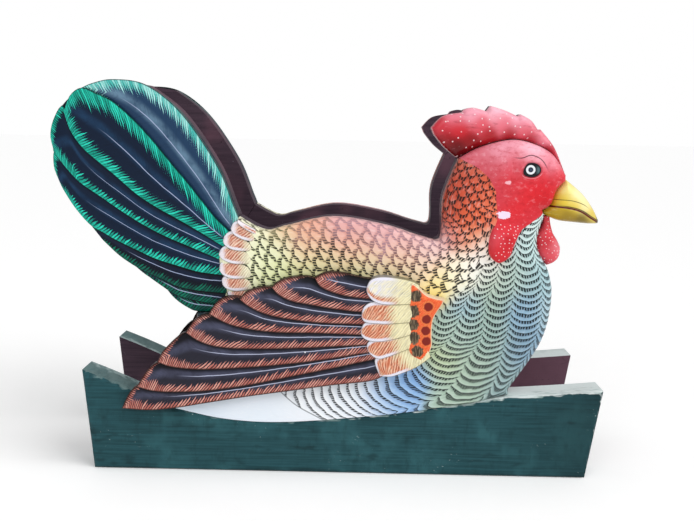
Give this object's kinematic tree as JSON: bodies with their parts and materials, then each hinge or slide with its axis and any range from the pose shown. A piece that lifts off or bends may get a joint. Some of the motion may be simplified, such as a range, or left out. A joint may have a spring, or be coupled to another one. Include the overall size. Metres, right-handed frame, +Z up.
{
  "type": "rooster rack",
  "caption": "Carved and painted wooden rooster rack: two mirrored rooster sides on green planks with an open bay between them for magazines.",
  "frame": {"origin": "on the ground under the middle of the rack", "axes": "+X from the tail to the beak, +Y from the near side to the far side, +Z up"},
  "size_m": [0.5778, 0.223, 0.411],
  "materials": {
    "green_paint": "satin dark green paint over wood, rubbed and scuffed",
    "body_paint": "hand-painted carved feathers, satin",
    "tail_paint": "hand-painted blue-black feathers with green fringes, satin",
    "wing_paint": "hand-painted dark feathers with salmon fringes, satin",
    "red_paint": "red paint with white dots, satin",
    "beak_paint": "yellow ochre paint, satin",
    "inner_paint": "thin dark maroon paint over wood, matt",
    "bare_wood": "unpainted turned peg"
  },
  "bodies": {
    "root": {"near_base_plank": "green_paint", "near_body": "body_paint", "near_tail": "tail_paint", "near_wing": "wing_paint", "near_comb": "red_paint", "near_beak": "beak_paint", "near_cheek_wattle": "red_paint", "near_throat_wattle": "red_paint", "near_body_peg_1": "bare_wood", "near_body_peg_2": "bare_wood", "near_body_peg_3": "bare_wood", "near_tail_peg_1": "bare_wood", "near_tail_peg_2": "bare_wood", "near_wing_peg_1": "bare_wood", "near_wing_peg_2": "bare_wood", "near_comb_peg_1": "bare_wood", "near_comb_peg_2": "bare_wood", "near_beak_peg": "bare_wood", "near_cheek_wattle_peg": "bare_wood", "near_throat_wattle_peg": "bare_wood", "near_floor_peg_1": "bare_wood", "near_floor_peg_2": "bare_wood", "near_floor_peg_3": "bare_wood", "near_tail_end_peg_1": "bare_wood", "near_tail_end_peg_2": "bare_wood", "near_head_end_peg_1": "bare_wood", "near_head_end_peg_2": "bare_wood", "far_base_plank": "green_paint", "far_body": "body_paint", "far_tail": "tail_paint", "far_wing": "wing_paint", "far_comb": "red_paint", "far_beak": "beak_paint", "far_cheek_wattle": "red_paint", "far_throat_wattle": "red_paint", "far_body_peg_1": "bare_wood", "far_body_peg_2": "bare_wood", "far_body_peg_3": "bare_wood", "far_tail_peg_1": "bare_wood", "far_tail_peg_2": "bare_wood", "far_wing_peg_1": "bare_wood", "far_wing_peg_2": "bare_wood", "far_comb_peg_1": "bare_wood", "far_comb_peg_2": "bare_wood", "far_beak_peg": "bare_wood", "far_cheek_wattle_peg": "bare_wood", "far_throat_wattle_peg": "bare_wood", "far_floor_peg_1": "bare_wood", "far_floor_peg_2": "bare_wood", "far_floor_peg_3": "bare_wood", "far_tail_end_peg_1": "bare_wood", "far_tail_end_peg_2": "bare_wood", "far_head_end_peg_1": "bare_wood", "far_head_end_peg_2": "bare_wood", "floor_board": "inner_paint", "tail_end_board": "inner_paint", "head_end_board": "inner_paint"}
  },
  "joints": []
}
